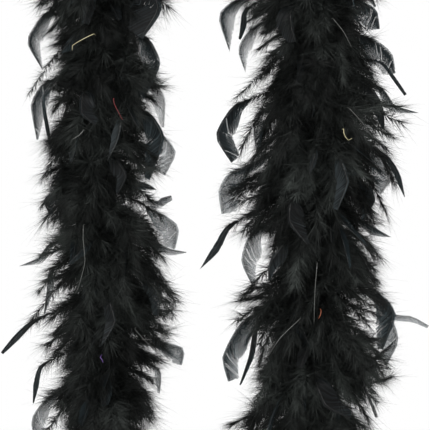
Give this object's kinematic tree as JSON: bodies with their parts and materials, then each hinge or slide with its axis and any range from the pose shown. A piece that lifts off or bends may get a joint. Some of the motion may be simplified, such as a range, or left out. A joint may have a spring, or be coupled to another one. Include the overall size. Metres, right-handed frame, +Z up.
{
  "type": "feather boa",
  "caption": "Black feather boa draped over its middle: bunches of dyed down and flat vane feathers bound along a twisted two-ply core cord, with a knot and loop at each end.",
  "frame": {"origin": "the point where the inside of the bend rests on what holds the boa up, such as a neck or a rail", "axes": "+Z up along the hanging strands, +X towards the right-hand strand as seen from the front, +Y away from the viewer"},
  "size_m": [0.3989, 0.1741, 0.9757],
  "materials": {
    "feather_black": "satin",
    "cord_black": "matte",
    "thread_black": "satin"
  },
  "bodies": {
    "neck": {"core_ply_a_neck": "cord_black", "core_ply_b_neck": "cord_black", "feather_bunch_crest": "feather_black", "feather_bunch_left_01": "feather_black", "feather_bunch_left_02": "feather_black", "feather_bunch_left_03": "feather_black", "feather_bunch_left_04": "feather_black", "feather_bunch_right_01": "feather_black", "feather_bunch_right_02": "feather_black", "feather_bunch_right_03": "feather_black", "feather_bunch_right_04": "feather_black", "stitch_thread_neck": "thread_black"},
    "left_upper": {"core_ply_a_left_upper": "cord_black", "core_ply_b_left_upper": "cord_black", "feather_bunch_left_05": "feather_black", "feather_bunch_left_06": "feather_black", "feather_bunch_left_07": "feather_black", "feather_bunch_left_08": "feather_black", "stitch_thread_left_upper": "thread_black"},
    "left_middle": {"core_ply_a_left_middle": "cord_black", "core_ply_b_left_middle": "cord_black", "feather_bunch_left_09": "feather_black", "feather_bunch_left_10": "feather_black", "feather_bunch_left_11": "feather_black", "feather_bunch_left_12": "feather_black", "stitch_thread_left_middle": "thread_black"},
    "left_lower": {"core_ply_a_left_lower": "cord_black", "core_ply_b_left_lower": "cord_black", "end_knot_left": "cord_black", "end_loop_left": "cord_black", "feather_bunch_left_13": "feather_black", "feather_bunch_left_14": "feather_black", "feather_bunch_left_15": "feather_black", "stitch_thread_left_lower": "thread_black"},
    "right_upper": {"core_ply_a_right_upper": "cord_black", "core_ply_b_right_upper": "cord_black", "feather_bunch_right_05": "feather_black", "feather_bunch_right_06": "feather_black", "feather_bunch_right_07": "feather_black", "feather_bunch_right_08": "feather_black", "stitch_thread_right_upper": "thread_black"},
    "right_middle": {"core_ply_a_right_middle": "cord_black", "core_ply_b_right_middle": "cord_black", "feather_bunch_right_09": "feather_black", "feather_bunch_right_10": "feather_black", "feather_bunch_right_11": "feather_black", "feather_bunch_right_12": "feather_black", "stitch_thread_right_middle": "thread_black"},
    "right_lower": {"core_ply_a_right_lower": "cord_black", "core_ply_b_right_lower": "cord_black", "end_knot_right": "cord_black", "end_loop_right": "cord_black", "feather_bunch_right_13": "feather_black", "feather_bunch_right_14": "feather_black", "feather_bunch_right_15": "feather_black", "stitch_thread_right_lower": "thread_black"}
  },
  "joints": [
    {"name": "left_upper_sway", "type": "hinge", "parent": "neck", "child": "left_upper", "pos_m": [-0.105, 0, -0.17707], "axis": [0, 1, 0], "range_deg": [-2, 25]},
    {"name": "left_middle_swing", "type": "hinge", "parent": "left_upper", "child": "left_middle", "pos_m": [-0.105, 0, -0.40907], "axis": [1, 0, 0], "range_deg": [-25, 25]},
    {"name": "left_lower_sway", "type": "hinge", "parent": "left_middle", "child": "left_lower", "pos_m": [-0.105, 0, -0.64107], "axis": [0, 1, 0], "range_deg": [-2, 25]},
    {"name": "right_upper_sway", "type": "hinge", "parent": "neck", "child": "right_upper", "pos_m": [0.105, 0, -0.17707], "axis": [0, -1, 0], "range_deg": [-2, 25]},
    {"name": "right_middle_swing", "type": "hinge", "parent": "right_upper", "child": "right_middle", "pos_m": [0.105, 0, -0.40907], "axis": [1, 0, 0], "range_deg": [-25, 25]},
    {"name": "right_lower_sway", "type": "hinge", "parent": "right_middle", "child": "right_lower", "pos_m": [0.105, 0, -0.64107], "axis": [0, -1, 0], "range_deg": [-2, 25]}
  ]
}
